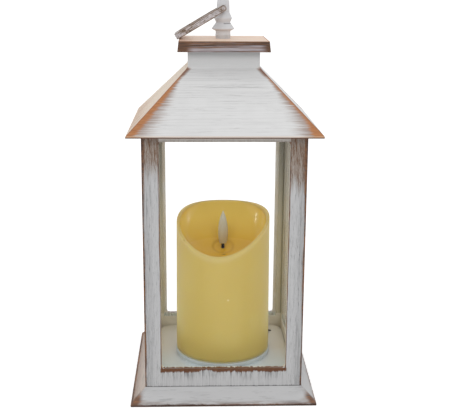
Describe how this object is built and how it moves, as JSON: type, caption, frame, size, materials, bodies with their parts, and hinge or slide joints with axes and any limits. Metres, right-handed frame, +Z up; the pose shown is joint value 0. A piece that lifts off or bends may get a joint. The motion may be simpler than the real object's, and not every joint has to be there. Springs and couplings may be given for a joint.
{
  "type": "candle lantern",
  "caption": "Square glazed candle lantern with a hipped roof, turned finial, swinging bail handle and a flameless pillar candle on a battery base.",
  "frame": {"origin": "centre of the plinth's foot, on the surface it stands on", "axes": "+Z up through the finial, -Y to the front, +X to the right"},
  "size_m": [0.14, 0.14, 0.3167],
  "materials": {
    "painted_plastic": "white paint brushed over copper-brown grained plastic, worn at the edges",
    "worn_plastic": "copper-brown grained plastic with thin white brushing",
    "satin_plastic": "satin grey-white paint",
    "bare_plastic": "unpainted warm white moulding",
    "white_plastic": "satin white moulding",
    "clear_pane": "clear polystyrene sheet",
    "candle_wax": "waxy translucent ivory",
    "bowl_resin": "glossy amber translucent",
    "frosted_plastic": "frosted translucent",
    "black_plastic": "moulded black",
    "screw_steel": "zinc-plated self-tapping screw",
    "contact_metal": "nickel-plated sheet",
    "cell_jacket": "plain printed film sleeve over a steel can",
    "board_laminate": "green solder mask",
    "lead_red": "insulated stranded wire"
  },
  "bodies": {
    "lantern": {"base": "painted_plastic", "bottom_plate": "bare_plastic", "bottom_plate_screws": "screw_steel", "batteries": "cell_jacket", "battery_contacts": "contact_metal", "circuit_board": "board_laminate", "timer_chip": "black_plastic", "board_screws": "screw_steel", "switch_body": "contact_metal", "battery_leads": "lead_red", "led_leads": "lead_red", "candle_base": "white_plastic", "candle_screws": "screw_steel", "candle_shell": "candle_wax", "candle_bowl": "bowl_resin", "wick": "black_plastic", "flame": "frosted_plastic", "led": "frosted_plastic", "front_frame": "painted_plastic", "back_frame": "painted_plastic", "left_frame": "painted_plastic", "right_frame": "painted_plastic", "front_pane": "clear_pane", "back_pane": "clear_pane", "left_pane": "clear_pane", "right_pane": "clear_pane", "base_screws": "screw_steel", "top_plate": "bare_plastic", "frame_screws": "screw_steel", "roof": "painted_plastic", "roof_screws": "screw_steel", "cap": "worn_plastic", "finial": "satin_plastic", "finial_screw": "screw_steel", "finial_washer": "screw_steel"},
    "handle": {"handle": "worn_plastic"},
    "battery_door": {"battery_door": "bare_plastic"},
    "switch_slider": {"switch_slider": "black_plastic"}
  },
  "joints": [
    {"name": "handle_swing", "type": "hinge", "parent": "lantern", "child": "handle", "pos_m": [0, 0, 0.2904], "axis": [0, 1, 0], "range_deg": [0, 240.9]},
    {"name": "battery_door_hinge", "type": "hinge", "parent": "lantern", "child": "battery_door", "pos_m": [0, 0.042, 0.0027], "axis": [1, 0, 0], "range_deg": [0, 90]},
    {"name": "switch_slide", "type": "slide", "parent": "lantern", "child": "switch_slider", "axis": [1, 0, 0], "range_m": [0, 0.004]}
  ]
}
